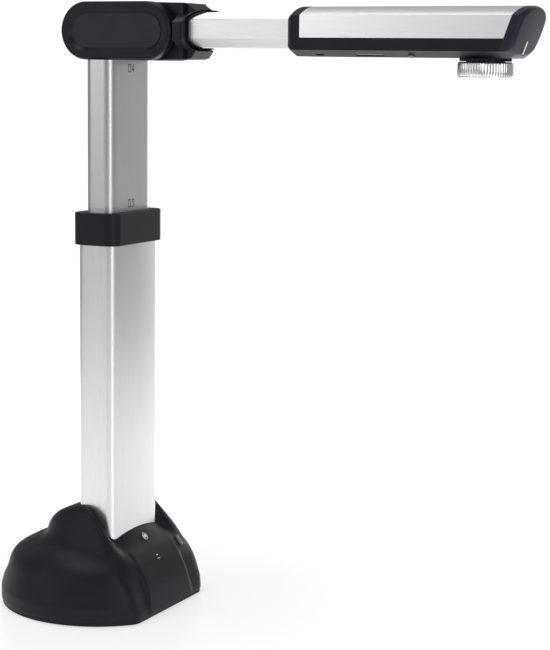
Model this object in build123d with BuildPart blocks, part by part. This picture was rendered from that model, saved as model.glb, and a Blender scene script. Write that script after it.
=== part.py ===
"""Desktop document camera: weighted base, telescoping column, folding and telescoping camera arm.

Frame: millimetres, origin on the desk under the column's axis, +Z up, +X towards the camera head.
"""
from build123d import *
import os

os.makedirs("parts", exist_ok=True)

# ---------------------------------------------------------------- driving dimensions

# base: a round foot with a straight front edge
BASE_RADIUS = 65.0
BASE_CENTRE_X = -12.0
BASE_FRONT_X = 39.4
BASE_CORNER_R = 9.0
PAD_HEIGHT = 1.4            # rubber pad, partly let into the base plate
PLATE_BOTTOM = 0.8
PLATE_TOP = 3.4
BALLAST_TOP = 14.0
SKIRT_LEAN_Z = 11.0         # the wall is upright up to here and leans inwards above
SKIRT_TOP = 38.0
SKIRT_LEAN = 7.6
HUMP_FOOT_Z = 24.0
HUMP_TOP = 67.0
COVER_WALL = 2.6
SLOPE_TOP = (2.0, 67.2)     # side view (X, Z) of the sloping front face
SLOPE_KNEE = (30.0, 32.2)
SLOPE_MIDDLE = (36.8, 21.5)
SLOPE_FOOT = (39.4, 10.0)

# column
OUTER_X, OUTER_Y, OUTER_R, OUTER_WALL = 26.2, 55.4, 5.4, 1.8
INNER_X, INNER_Y, INNER_R, INNER_WALL = 19.0, 48.0, 5.4, 1.5
OUTER_BOTTOM, OUTER_TOP = 17.0, 249.0
INNER_BOTTOM, INNER_TOP = 130.0, 345.0
COLLAR_BOTTOM, COLLAR_TOP = 232.3, 252.2
COLLAR_X, COLLAR_Y, COLLAR_R = 31.8, 60.6, 7.5
RUNNING = 0.08              # radial clearance of a running fit
GAP = 0.3                   # air between parts of different bodies

# pivot head on top of the inner column
HEAD_X0, HEAD_X1 = -27.3, 49.7
HEAD_Z0, HEAD_Z1 = 345.0, 380.0
HEAD_HALF_Y = 23.1
CHEEK_INNER_Y = 15.5
HEAD_LENGTH = HEAD_X1 - HEAD_X0
HEAD_HEIGHT = HEAD_Z1 - HEAD_Z0
HEAD_MID_X = (HEAD_X0 + HEAD_X1) / 2
HINGE_Z = (HEAD_Z0 + HEAD_Z1) / 2
HINGE_X = HEAD_X1 - HEAD_HEIGHT / 2
RECESS_INSET = 5.2          # outer edge of the sloping wall round the side panel
RECESS_SLOPE = 2.0          # its width and its depth
RECESS_FLOOR_Y = 20.3
SHAFT_R = 4.0

# arm tube: an eight-sided extrusion on the hinge's knuckle
ARM_HALF_Y = 14.0
ARM_Z = (352.7, 358.2, 369.5, 373.7)      # bottom, lower bevel, upper bevel, top
ARM_FLAT_TOP, ARM_FLAT_BOTTOM = 9.6, 8.0
ARM_WALL = 1.5
ARM_X0, ARM_X1 = 54.0, 175.0
KNUCKLE_R = 17.2
KNUCKLE_HALF_Y = 14.0
SLEEVE_X0, SLEEVE_X1 = 50.4, 70.0
SLEEVE_WALL = 1.5

# camera head that telescopes on the arm tube
CAM_X0 = 126.2
FRAME_LENGTH = 8.5
CAM_HALF_Y = 21.5
CAM_Z = (348.3, 351.9, 358.9, 371.5, 377.1)   # bottom, lower bevel, tray edge, shell crease, crown
CAM_FLAT_BOTTOM = 12.0
SHELL_WALL = 1.3
TRAY_WALL = 1.9
SLANT = 0.36                # forward lean of the nose, X per Z
NOSE_REAR_X, NOSE_FRONT_X = 258.8, 266.0      # at the height of the hinge
LENS_X = 240.0
RING_R = 15.6
RING_Z0, RING_Z1 = 337.6, 346.3
LED_X = (167.0, 185.0)
SLOT_Y = -14.8              # centre line of the slots along the bottom's near bevel
CATCH_X, BUTTON_X = 145.0, 201.5
SLOT_WIDTH = 3.2
BUTTON_R = 1.8


# ---------------------------------------------------------------- shared profiles and forms

def base_outline(inset):
    """Plan of the foot: a circle cut off by a straight front edge."""
    with BuildSketch() as outline:
        with Locations((BASE_CENTRE_X, 0)):
            Circle(BASE_RADIUS - inset)
        with Locations((BASE_FRONT_X - inset, 0)):
            Rectangle(80, 200, align=(Align.MIN, Align.CENTER), mode=Mode.SUBTRACT)
        fillet(outline.vertices(), BASE_CORNER_R)
    return outline.sketch


def skirt_form(inset):
    """Low round body of the cover: an upright foot that leans in towards a rounded shoulder."""
    with BuildPart() as form:
        with BuildSketch(Plane.XY.offset(PLATE_TOP)):
            add(base_outline(inset))
        extrude(amount=SKIRT_LEAN_Z - PLATE_TOP)
        with BuildSketch(Plane.XY.offset(SKIRT_LEAN_Z)):
            add(base_outline(inset))
        with BuildSketch(Plane.XY.offset(SKIRT_TOP - inset)):
            add(base_outline(inset + SKIRT_LEAN))
        loft()
        fillet(form.faces().sort_by(Axis.Z)[-1].edges(), 6)
    return form.part


def hump_form(inset):
    """Rounded tower that embraces the foot of the column."""
    with BuildPart() as form:
        with BuildSketch(Plane.XY.offset(HUMP_FOOT_Z)):
            with Locations((-6, 0)):
                RectangleRounded(92 - 2 * inset, 92 - 2 * inset, 30)
        with BuildSketch(Plane.XY.offset(HUMP_TOP - inset)):
            with Locations((-2, 0)):
                RectangleRounded(56 - 2 * inset, 67 - 2 * inset, 14)
        loft()
        fillet(form.faces().sort_by(Axis.Z)[-1].edges(), 8)
    return form.part


def front_cut(inset):
    """Everything in front of the sloping face, as a tool to cut with."""
    dx, dz = -inset, -0.7 * inset
    top = (SLOPE_TOP[0] + dx, SLOPE_TOP[1] + dz)
    knee = (SLOPE_KNEE[0] + dx, SLOPE_KNEE[1] + dz)
    middle = (SLOPE_MIDDLE[0] + dx, SLOPE_MIDDLE[1] + dz)
    foot = (SLOPE_FOOT[0] + dx, SLOPE_FOOT[1] + dz)
    with BuildPart() as cut:
        with BuildSketch(Plane.XZ):
            with BuildLine():
                Line(top, knee)
                ThreePointArc(knee, middle, foot)
                Polyline(foot, (90, foot[1]), (90, 100), (top[0], 100), top)
            make_face()
        extrude(amount=80, both=True)
    return cut.part


def arm_section(grow):
    """Eight-sided section of the arm tube in Y and Z, grown by an even offset."""
    bottom, low, high, top = ARM_Z
    with BuildSketch() as section:
        with BuildLine():
            Polyline(
                (-ARM_FLAT_BOTTOM, bottom), (ARM_FLAT_BOTTOM, bottom), (ARM_HALF_Y, low),
                (ARM_HALF_Y, high), (ARM_FLAT_TOP, top), (-ARM_FLAT_TOP, top),
                (-ARM_HALF_Y, high), (-ARM_HALF_Y, low), close=True)
        make_face()
        if grow:
            offset(amount=grow, kind=Kind.INTERSECTION)
    return section.sketch


def camera_section(inset):
    """Section of the camera head in Y and Z: crowned top, upright sides, bevelled bottom."""
    bottom, low, _, crease, crown = CAM_Z
    with BuildSketch() as section:
        with BuildLine():
            Polyline(
                (-CAM_HALF_Y, crease), (-CAM_HALF_Y, low), (-CAM_FLAT_BOTTOM, bottom),
                (CAM_FLAT_BOTTOM, bottom), (CAM_HALF_Y, low), (CAM_HALF_Y, crease))
            ThreePointArc((CAM_HALF_Y, crease), (0, crown), (-CAM_HALF_Y, crease))
        make_face()
        if inset:
            offset(amount=-inset, kind=Kind.INTERSECTION)
    return section.sketch


def nose_plane(x):
    """Slanted plane across the camera head, its normal pointing forwards."""
    return Plane(origin=(x, 0, HINGE_Z), x_dir=(0, 1, 0), z_dir=(1, 0, -SLANT))


BEVEL_RUN = CAM_HALF_Y - CAM_FLAT_BOTTOM
BEVEL_RISE = CAM_Z[1] - CAM_Z[0]


def bevel_plane(x, depth):
    """Plane on the near bottom bevel of the camera head, depth below its surface, normal outwards."""
    z = CAM_Z[0] + (-SLOT_Y - CAM_FLAT_BOTTOM) * BEVEL_RISE / BEVEL_RUN
    plane = Plane(origin=(x, SLOT_Y, z), x_dir=(1, 0, 0), z_dir=(0, -BEVEL_RISE, -BEVEL_RUN))
    return plane.offset(-depth)


SLOPE_RUN = SLOPE_KNEE[0] - SLOPE_TOP[0]
SLOPE_DROP = SLOPE_TOP[1] - SLOPE_KNEE[1]


def slope_plane(x, y):
    """Plane on the base's sloping front face at a given X and Y, normal outwards."""
    z = SLOPE_TOP[1] - (x - SLOPE_TOP[0]) * SLOPE_DROP / SLOPE_RUN
    return Plane(origin=(x, y, z), x_dir=(0, 1, 0), z_dir=(SLOPE_DROP, 0, SLOPE_RUN))


# ---------------------------------------------------------------- base

SCREW_SPOTS = [(22, 40), (22, -40), (-44, 40), (-44, -40)]
PORT_Y, PORT_Z = 0.0, 22.0
PORT_WIDTH, PORT_HEIGHT = 9.0, 3.4
PILOT_R = 1.1
PILOT_X = (19.8, 28.2)
KEY_X, KEY_Y = 27.0, 31.0
KEY_LENGTH, KEY_WIDTH = 7.6, 3.0

base_skirt = skirt_form(0)
base_hump = hump_form(0)
base_front = front_cut(0)
inner_skirt = skirt_form(COVER_WALL)
inner_hump = hump_form(COVER_WALL)
inner_front = front_cut(COVER_WALL)

with BuildPart() as cover_hollow:
    add(inner_skirt)
    add(inner_hump)
    add(inner_front, mode=Mode.SUBTRACT)

with BuildPart() as cover_bosses:
    with Locations(*[(x, y, BALLAST_TOP) for x, y in SCREW_SPOTS]):
        Cylinder(4, 30, align=(Align.CENTER, Align.CENTER, Align.MIN))
        Cylinder(1.25, 12, align=(Align.CENTER, Align.CENTER, Align.MIN), mode=Mode.SUBTRACT)
    add(cover_hollow.part, mode=Mode.INTERSECT)

with BuildPart() as base_cover:
    add(base_skirt)
    add(base_hump)
    add(base_front, mode=Mode.SUBTRACT)
    add(cover_hollow.part, mode=Mode.SUBTRACT)
    add(cover_bosses.part)
    with BuildSketch(Plane.XY.offset(30)):
        RectangleRounded(OUTER_X + 0.2, OUTER_Y + 0.2, OUTER_R + 0.1)
    extrude(amount=60, mode=Mode.SUBTRACT)
    with BuildSketch(Plane.YZ.offset(-80)):
        with Locations((PORT_Y, PORT_Z)):
            RectangleRounded(PORT_WIDTH + 0.6, PORT_HEIGHT + 0.6, 1.6)
    extrude(amount=16, mode=Mode.SUBTRACT)
    for pilot_x in PILOT_X:
        with BuildSketch(slope_plane(pilot_x, 0).offset(-6)):
            Circle(PILOT_R)
        extrude(amount=10, mode=Mode.SUBTRACT)
    with BuildSketch(slope_plane(KEY_X, KEY_Y).offset(-4)):
        SlotOverall(KEY_LENGTH + 2 * GAP, KEY_WIDTH + 2 * GAP, rotation=90)
    extrude(amount=10, mode=Mode.SUBTRACT)
base_cover.part.label = "base_cover"
export_step(base_cover.part, "parts/base_cover.step")

with BuildPart() as base_plate:
    with BuildSketch(Plane.XY.offset(PLATE_BOTTOM)):
        add(base_outline(0.8))
    extrude(amount=PLATE_TOP - PLATE_BOTTOM)
    with BuildSketch(Plane.XY.offset(PLATE_BOTTOM)):
        add(base_outline(4.8))
    extrude(amount=PAD_HEIGHT - PLATE_BOTTOM, mode=Mode.SUBTRACT)
    with Locations(*[(x, y, PLATE_TOP) for x, y in SCREW_SPOTS]):
        Hole(1.6)
base_plate.part.label = "base_plate"
export_step(base_plate.part, "parts/base_plate.step")

with BuildPart() as rubber_pad:
    with BuildSketch():
        add(base_outline(5.0))
        with Locations(*SCREW_SPOTS):
            Circle(4, mode=Mode.SUBTRACT)
    extrude(amount=PAD_HEIGHT)
rubber_pad.part.label = "rubber_pad"
export_step(rubber_pad.part, "parts/rubber_pad.step")

with BuildPart() as ballast_plate:
    with BuildSketch(Plane.XY.offset(PLATE_TOP)):
        add(base_outline(6.0))
        with Locations(*SCREW_SPOTS):
            Circle(1.7, mode=Mode.SUBTRACT)
    extrude(amount=BALLAST_TOP - PLATE_TOP)
    fillet(ballast_plate.faces().sort_by(Axis.Z)[-1].outer_wire().edges(), 1.5)
ballast_plate.part.label = "ballast_plate"
export_step(ballast_plate.part, "parts/ballast_plate.step")

with BuildPart() as base_screws:
    with Locations(*[(x, y, PLATE_BOTTOM + 0.6) for x, y in SCREW_SPOTS]):
        Cylinder(1.25, 20, align=(Align.CENTER, Align.CENTER, Align.MIN))
    with Locations(*[(x, y, -0.2 + PLATE_BOTTOM) for x, y in SCREW_SPOTS]):
        Cylinder(2.8, 0.8, align=(Align.CENTER, Align.CENTER, Align.MIN))
base_screws.part.label = "base_screws"
export_step(base_screws.part, "parts/base_screws.step")

SOCKET_TOP = 29.0
CLAMP_Y, CLAMP_Z = 14.0, 23.0

with BuildPart() as column_socket:
    with BuildSketch(Plane.XY.offset(BALLAST_TOP)):
        RectangleRounded(52, 72, 6)
    extrude(amount=3)
    with BuildSketch(Plane.XY.offset(BALLAST_TOP)):
        RectangleRounded(35, 64, 6)
    extrude(amount=SOCKET_TOP - BALLAST_TOP)
    with BuildSketch(Plane.XY.offset(OUTER_BOTTOM)):
        RectangleRounded(OUTER_X, OUTER_Y, OUTER_R)
    extrude(amount=20, mode=Mode.SUBTRACT)
    with BuildSketch(Plane.XY.offset(BALLAST_TOP)):
        RectangleRounded(12, 30, 3)
    extrude(amount=5, mode=Mode.SUBTRACT)
    with BuildSketch(Plane.YZ.offset(-20)):
        with Locations((CLAMP_Y, CLAMP_Z), (-CLAMP_Y, CLAMP_Z)):
            Circle(2)
    extrude(amount=9, mode=Mode.SUBTRACT)
column_socket.part.label = "column_socket"
export_step(column_socket.part, "parts/column_socket.step")

with BuildPart() as clamp_screws:
    with BuildSketch(Plane.YZ.offset(-17.5)):
        with Locations((CLAMP_Y, CLAMP_Z), (-CLAMP_Y, CLAMP_Z)):
            Circle(2)
    extrude(amount=6.4)
    with BuildSketch(Plane.YZ.offset(-20)):
        with Locations((CLAMP_Y, CLAMP_Z), (-CLAMP_Y, CLAMP_Z)):
            Circle(3.6)
            RegularPolygon(1.6, 6, mode=Mode.SUBTRACT)
    extrude(amount=2.5)
clamp_screws.part.label = "clamp_screws"
export_step(clamp_screws.part, "parts/clamp_screws.step")

BOARD_Z = PORT_Z - PORT_HEIGHT / 2 - 1.6
BOARD_SPOTS = [(-60, 12), (-60, -12), (-34, 22), (-34, -22)]

with BuildPart() as main_board:
    with BuildSketch(Plane.XY.offset(BOARD_Z)):
        with BuildLine():
            Polyline((-68, 16), (-68, -16), (-44, -28), (-28, -28), (-28, 28), (-44, 28), close=True)
        make_face()
        with Locations(*BOARD_SPOTS):
            Circle(1.25, mode=Mode.SUBTRACT)
    extrude(amount=1.6)
    with Locations((-42, 0, BOARD_Z + 1.6)):
        Box(14, 14, 1.4, align=(Align.CENTER, Align.CENTER, Align.MIN))
    with Locations((-33, 12, BOARD_Z + 1.6), (-33, -12, BOARD_Z + 1.6)):
        Cylinder(2.5, 4.5, align=(Align.CENTER, Align.CENTER, Align.MIN))
main_board.part.label = "main_board"
export_step(main_board.part, "parts/main_board.step")

with BuildPart() as board_standoffs:
    with Locations(*[(x, y, BALLAST_TOP) for x, y in BOARD_SPOTS]):
        Cylinder(2.6, BOARD_Z - BALLAST_TOP, align=(Align.CENTER, Align.CENTER, Align.MIN))
        Cylinder(1.25, BOARD_Z - BALLAST_TOP + 1.6, align=(Align.CENTER, Align.CENTER, Align.MIN))
    with Locations(*[(x, y, BOARD_Z + 1.6) for x, y in BOARD_SPOTS]):
        Cylinder(2.3, 1.5, align=(Align.CENTER, Align.CENTER, Align.MIN))
board_standoffs.part.label = "board_standoffs"
export_step(board_standoffs.part, "parts/board_standoffs.step")

PORT_MOUTH_X = -73.6

with BuildPart() as usb_port:
    with BuildSketch(Plane.YZ.offset(PORT_MOUTH_X)):
        with Locations((PORT_Y, PORT_Z)):
            RectangleRounded(PORT_WIDTH, PORT_HEIGHT, 1.4)
    extrude(amount=10)
    with BuildSketch(Plane.YZ.offset(PORT_MOUTH_X)):
        with Locations((PORT_Y, PORT_Z)):
            RectangleRounded(PORT_WIDTH - 0.7, PORT_HEIGHT - 0.7, 1.1)
    extrude(amount=8, mode=Mode.SUBTRACT)
    with Locations((PORT_MOUTH_X + 1.2, PORT_Y, PORT_Z)):
        Box(8, 6.4, 0.7, align=(Align.MIN, Align.CENTER, Align.CENTER))
usb_port.part.label = "usb_port"
export_step(usb_port.part, "parts/usb_port.step")

with BuildPart() as indicator_pipes:
    for pilot_x in PILOT_X:
        with BuildSketch(slope_plane(pilot_x, 0).offset(-5.4)):
            Circle(PILOT_R)
        extrude(amount=5.7)
indicator_pipes.part.label = "indicator_pipes"
export_step(indicator_pipes.part, "parts/indicator_pipes.step")

FRONT_BOARD_DEPTH = 7.2
FRONT_BOARD_X = (PILOT_X[0] + PILOT_X[1]) / 2
KEY_SWITCH_HEIGHT = 0.9     # leaves the key its travel

with BuildPart() as front_board:
    with BuildSketch(slope_plane(FRONT_BOARD_X, 0).offset(-FRONT_BOARD_DEPTH)):
        RectangleRounded(67, 14, 2)
    extrude(amount=1.2)
    for pilot_x in PILOT_X:
        with BuildSketch(slope_plane(pilot_x, 0).offset(-FRONT_BOARD_DEPTH + 1.2)):
            Rectangle(1.6, 1.6)
        extrude(amount=0.5)
    with BuildSketch(slope_plane(KEY_X, KEY_Y).offset(-FRONT_BOARD_DEPTH + 1.2)):
        Rectangle(5, 4)
    extrude(amount=KEY_SWITCH_HEIGHT)
front_board.part.label = "front_board"
export_step(front_board.part, "parts/front_board.step")

with BuildPart() as power_key:
    with BuildSketch(slope_plane(KEY_X, KEY_Y).offset(-3.2)):
        SlotOverall(KEY_LENGTH, KEY_WIDTH, rotation=90)
    extrude(amount=4.0)
    fillet(power_key.faces().sort_by(Axis((0, 0, 0), (SLOPE_DROP, 0, SLOPE_RUN)))[-1].edges(), 0.5)
    with BuildSketch(slope_plane(KEY_X, KEY_Y).offset(-4.0)):
        SlotOverall(KEY_LENGTH + 1.6, KEY_WIDTH + 1.6, rotation=90)
    extrude(amount=0.8)
power_key.part.label = "power_key"
export_step(power_key.part, "parts/power_key.step")

# ---------------------------------------------------------------- outer column

with BuildPart() as outer_column:
    with BuildSketch(Plane.XY.offset(OUTER_BOTTOM)):
        RectangleRounded(OUTER_X, OUTER_Y, OUTER_R)
        RectangleRounded(OUTER_X - 2 * OUTER_WALL, OUTER_Y - 2 * OUTER_WALL, OUTER_R - 1.4,
                         mode=Mode.SUBTRACT)
    extrude(amount=OUTER_TOP - OUTER_BOTTOM)
    with BuildSketch(Plane.YZ.offset(-20)):
        with Locations((CLAMP_Y, CLAMP_Z), (-CLAMP_Y, CLAMP_Z)):
            Circle(2)
    extrude(amount=10, mode=Mode.SUBTRACT)
outer_column.part.label = "outer_column"
export_step(outer_column.part, "parts/outer_column.step")

with BuildPart() as column_collar:
    with BuildSketch(Plane.XY.offset(COLLAR_BOTTOM)):
        RectangleRounded(COLLAR_X, COLLAR_Y, COLLAR_R)
    extrude(amount=COLLAR_TOP - COLLAR_BOTTOM)
    fillet(column_collar.faces().sort_by(Axis.Z)[-1].edges(), 0.8)
    fillet(column_collar.faces().sort_by(Axis.Z)[0].edges(), 0.5)
    with BuildSketch(Plane.XY.offset(COLLAR_BOTTOM)):
        RectangleRounded(OUTER_X, OUTER_Y, OUTER_R)
    extrude(amount=OUTER_TOP - COLLAR_BOTTOM, mode=Mode.SUBTRACT)
    with BuildSketch(Plane.XY.offset(COLLAR_BOTTOM)):
        RectangleRounded(INNER_X + 2 * GAP, INNER_Y + 2 * GAP, INNER_R + GAP)
    extrude(amount=30, mode=Mode.SUBTRACT)
column_collar.part.label = "column_collar"
export_step(column_collar.part, "parts/column_collar.step")

BUSH_BOTTOM = 226.0

with BuildPart() as collar_bush:
    with BuildSketch(Plane.XY.offset(BUSH_BOTTOM)):
        RectangleRounded(OUTER_X - 2 * OUTER_WALL, OUTER_Y - 2 * OUTER_WALL, OUTER_R - 1.4)
        RectangleRounded(INNER_X + 2 * RUNNING, INNER_Y + 2 * RUNNING, INNER_R + RUNNING,
                         mode=Mode.SUBTRACT)
    extrude(amount=OUTER_TOP - BUSH_BOTTOM)
collar_bush.part.label = "collar_bush"
export_step(collar_bush.part, "parts/collar_bush.step")

# ---------------------------------------------------------------- inner column

with BuildPart() as inner_column:
    with BuildSketch(Plane.XY.offset(INNER_BOTTOM)):
        RectangleRounded(INNER_X, INNER_Y, INNER_R)
        RectangleRounded(INNER_X - 2 * INNER_WALL, INNER_Y - 2 * INNER_WALL, INNER_R - 1.2,
                         mode=Mode.SUBTRACT)
    extrude(amount=INNER_TOP - INNER_BOTTOM)
inner_column.part.label = "inner_column"
export_step(inner_column.part, "parts/inner_column.step")

SHOE_BOTTOM = 117.0

with BuildPart() as column_shoe:
    with BuildSketch(Plane.XY.offset(SHOE_BOTTOM)):
        RectangleRounded(OUTER_X - 2 * OUTER_WALL - 2 * RUNNING, OUTER_Y - 2 * OUTER_WALL - 2 * RUNNING,
                         OUTER_R - 1.4)
    extrude(amount=INNER_BOTTOM - SHOE_BOTTOM)
    with BuildSketch(Plane.XY.offset(INNER_BOTTOM)):
        RectangleRounded(INNER_X - 2 * INNER_WALL, INNER_Y - 2 * INNER_WALL, INNER_R - 1.2)
    extrude(amount=12)
    with BuildSketch(Plane.XY.offset(SHOE_BOTTOM)):
        RectangleRounded(8, 32, 2)
    extrude(amount=60, mode=Mode.SUBTRACT)
column_shoe.part.label = "column_shoe"
export_step(column_shoe.part, "parts/column_shoe.step")

# ---------------------------------------------------------------- pivot head

SPIGOT_BOTTOM = 318.0
CORE_REAR_TOP_X = 24.0
CHEEK_SCREW_SPOTS = [(-15.0, 355.5), (-15.0, 369.5), (4.0, 362.5)]

with BuildPart() as pivot_core:
    with BuildSketch(Plane.XZ):
        with Locations((HEAD_MID_X, HINGE_Z)):
            SlotOverall(HEAD_LENGTH, HEAD_HEIGHT)
        with Locations((HINGE_X, HINGE_Z)):
            Circle(KNUCKLE_R + 0.5, mode=Mode.SUBTRACT)
        with Locations((CORE_REAR_TOP_X, HINGE_Z)):
            Rectangle(60, 60, align=(Align.MIN, Align.CENTER), mode=Mode.SUBTRACT)
        with Locations((HINGE_X - KNUCKLE_R - 0.8, HINGE_Z)):
            Rectangle(60, 60, align=(Align.MIN, Align.MAX), mode=Mode.SUBTRACT)
    extrude(amount=CHEEK_INNER_Y, both=True)
    with BuildSketch(Plane.XY.offset(SPIGOT_BOTTOM)):
        RectangleRounded(INNER_X - 2 * INNER_WALL, INNER_Y - 2 * INNER_WALL, INNER_R - 1.2)
    extrude(amount=HEAD_Z0 - SPIGOT_BOTTOM)
    with BuildSketch(Plane.XY.offset(SPIGOT_BOTTOM)):
        RectangleRounded(8, 20, 2)
    extrude(amount=52, mode=Mode.SUBTRACT)
    with BuildSketch(Plane.XZ.offset(-CHEEK_INNER_Y)):
        with Locations(*CHEEK_SCREW_SPOTS[:2]):
            Circle(1.3)
    extrude(amount=2 * CHEEK_INNER_Y, mode=Mode.SUBTRACT)
pivot_core.part.label = "pivot_core"
export_step(pivot_core.part, "parts/pivot_core.step")


POCKET_INSET = RECESS_INSET + RECESS_SLOPE
PANEL_INSET = POCKET_INSET + 0.05
PANEL_THICKNESS = HEAD_HALF_Y - RECESS_SLOPE - RECESS_FLOOR_Y


def cheek_form(side):
    """Stadium side cover; side is -1 for the near one and +1 for the far one."""
    with BuildPart() as cheek:
        with BuildSketch(Plane.XZ.offset(-side * CHEEK_INNER_Y)):
            with Locations((HEAD_MID_X, HINGE_Z)):
                SlotOverall(HEAD_LENGTH, HEAD_HEIGHT)
        extrude(amount=-side * (HEAD_HALF_Y - CHEEK_INNER_Y))
        outer = cheek.faces().sort_by(Axis.Y)[-1 if side > 0 else 0]
        fillet(outer.edges(), 1.8)
        with BuildSketch(Plane.XZ.offset(-side * HEAD_HALF_Y)):
            with Locations((HEAD_MID_X, HINGE_Z)):
                SlotOverall(HEAD_LENGTH - 2 * RECESS_INSET, HEAD_HEIGHT - 2 * RECESS_INSET)
        extrude(amount=side * RECESS_SLOPE, taper=45, mode=Mode.SUBTRACT)
        with BuildSketch(Plane.XZ.offset(-side * HEAD_HALF_Y)):
            with Locations((HEAD_MID_X, HINGE_Z)):
                SlotOverall(HEAD_LENGTH - 2 * POCKET_INSET, HEAD_HEIGHT - 2 * POCKET_INSET)
        extrude(amount=side * (HEAD_HALF_Y - RECESS_FLOOR_Y), mode=Mode.SUBTRACT)
        with BuildSketch(Plane.XZ.offset(-side * RECESS_FLOOR_Y)):
            with Locations((HINGE_X, HINGE_Z)):
                Circle(7.2)
        extrude(amount=side * 2.4, mode=Mode.SUBTRACT)
        with BuildSketch(Plane.XZ.offset(-side * RECESS_FLOOR_Y)):
            with Locations((HINGE_X, HINGE_Z)):
                Circle(SHAFT_R)
            with Locations(*CHEEK_SCREW_SPOTS[:2]):
                Circle(1.3)
        extrude(amount=side * 6, mode=Mode.SUBTRACT)
        with BuildSketch(Plane.XZ.offset(-side * RECESS_FLOOR_Y)):
            with Locations(*CHEEK_SCREW_SPOTS[:2]):
                Circle(2.6)
        extrude(amount=side * 1.8, mode=Mode.SUBTRACT)
    return cheek


cheek_near = cheek_form(-1)
cheek_near.part.label = "cheek_near"
export_step(cheek_near.part, "parts/cheek_near.step")

cheek_far = cheek_form(1)
cheek_far.part.label = "cheek_far"
export_step(cheek_far.part, "parts/cheek_far.step")


def panel_form(side):
    """Thin stadium plate glued into the recess, hiding the hinge's screw."""
    with BuildPart() as panel:
        with BuildSketch(Plane.XZ.offset(-side * RECESS_FLOOR_Y)):
            with Locations((HEAD_MID_X, HINGE_Z)):
                SlotOverall(HEAD_LENGTH - 2 * PANEL_INSET, HEAD_HEIGHT - 2 * PANEL_INSET)
        extrude(amount=-side * PANEL_THICKNESS)
    return panel


panel_near = panel_form(-1)
panel_near.part.label = "panel_near"
export_step(panel_near.part, "parts/panel_near.step")

panel_far = panel_form(1)
panel_far.part.label = "panel_far"
export_step(panel_far.part, "parts/panel_far.step")

with BuildPart() as cheek_screws:
    for side in (-1, 1):
        with BuildSketch(Plane.XZ.offset(-side * RECESS_FLOOR_Y)):
            with Locations(*CHEEK_SCREW_SPOTS[:2]):
                Circle(2.4)
        extrude(amount=side * 1.8)
        with BuildSketch(Plane.XZ.offset(-side * (RECESS_FLOOR_Y - 1.8))):
            with Locations(*CHEEK_SCREW_SPOTS[:2]):
                Circle(1.3)
        extrude(amount=side * 10)
cheek_screws.part.label = "cheek_screws"
export_step(cheek_screws.part, "parts/cheek_screws.step")

WASHER_THICKNESS = 1.2

with BuildPart() as hinge_shaft:
    with BuildSketch(Plane.XZ.offset(RECESS_FLOOR_Y)):
        with Locations((HINGE_X, HINGE_Z)):
            Circle(6.8)
    extrude(amount=-2.4)
    with BuildSketch(Plane.XZ.offset(RECESS_FLOOR_Y - 2.4)):
        with Locations((HINGE_X, HINGE_Z)):
            Circle(SHAFT_R)
    extrude(amount=-(2 * RECESS_FLOOR_Y - 4.8))
hinge_shaft.part.label = "hinge_shaft"
export_step(hinge_shaft.part, "parts/hinge_shaft.step")

with BuildPart() as hinge_nut:
    with BuildSketch(Plane.XZ.offset(-(RECESS_FLOOR_Y - 2.4))):
        with Locations((HINGE_X, HINGE_Z)):
            RegularPolygon(6.6, 6)
    extrude(amount=-2.3)
hinge_nut.part.label = "hinge_nut"
export_step(hinge_nut.part, "parts/hinge_nut.step")

with BuildPart() as friction_washers:
    for side in (-1, 1):
        with BuildSketch(Plane.XZ.offset(-side * CHEEK_INNER_Y)):
            with Locations((HINGE_X, HINGE_Z)):
                Circle(13)
                Circle(SHAFT_R, mode=Mode.SUBTRACT)
        extrude(amount=side * WASHER_THICKNESS)
friction_washers.part.label = "friction_washers"
export_step(friction_washers.part, "parts/friction_washers.step")

# ---------------------------------------------------------------- folding arm

HOOD_X = 62.0

with BuildPart() as arm_knuckle:
    with BuildSketch(Plane.XZ):
        with Locations((HINGE_X, HINGE_Z)):
            Circle(KNUCKLE_R)
        with BuildLine():
            Polyline(
                (HINGE_X, HINGE_Z - KNUCKLE_R), (ARM_X0, HINGE_Z - KNUCKLE_R + 0.5),
                (ARM_X0, HINGE_Z + KNUCKLE_R - 0.5), (HINGE_X, HINGE_Z + KNUCKLE_R), close=True)
        make_face()
        with Locations((HINGE_X, HINGE_Z)):
            Circle(SHAFT_R + RUNNING, mode=Mode.SUBTRACT)
    extrude(amount=KNUCKLE_HALF_Y, both=True)
    with BuildSketch(Plane.YZ.offset(ARM_X0)):
        add(arm_section(-ARM_WALL))
    extrude(amount=20)
    with BuildSketch(Plane.YZ.offset(HINGE_X + 8)):
        with Locations((0, HINGE_Z)):
            RectangleRounded(14, 6, 1)
    extrude(amount=60, mode=Mode.SUBTRACT)
arm_knuckle.part.label = "arm_knuckle"
export_step(arm_knuckle.part, "parts/arm_knuckle.step")

SADDLE_X = 58.0             # end of the sleeve at the middle of its sides
SADDLE_R = 6.5
TONGUE_LIFT = 5.2           # how far the saddle's edge climbs from the side to a tongue's tip
RIM_WIDTH, RIM_STEP = 1.4, 0.7


def saddle_cut(shift):
    """U-shaped cut in side view that leaves a long tongue above and below the tube."""
    x0, x1 = SADDLE_X - shift, SLEEVE_X1 + 2
    half = 8.5 + shift
    with BuildPart() as cut:
        with BuildSketch(Plane.XZ):
            with BuildLine():
                FilletPolyline(
                    (x1, HINGE_Z + half + TONGUE_LIFT), (x0, HINGE_Z + half),
                    (x0, HINGE_Z - half), (x1, HINGE_Z - half - TONGUE_LIFT), radius=SADDLE_R)
                Line((x1, HINGE_Z - half - TONGUE_LIFT), (x1, HINGE_Z + half + TONGUE_LIFT))
            make_face()
        extrude(amount=30, both=True)
    return cut.part


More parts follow.
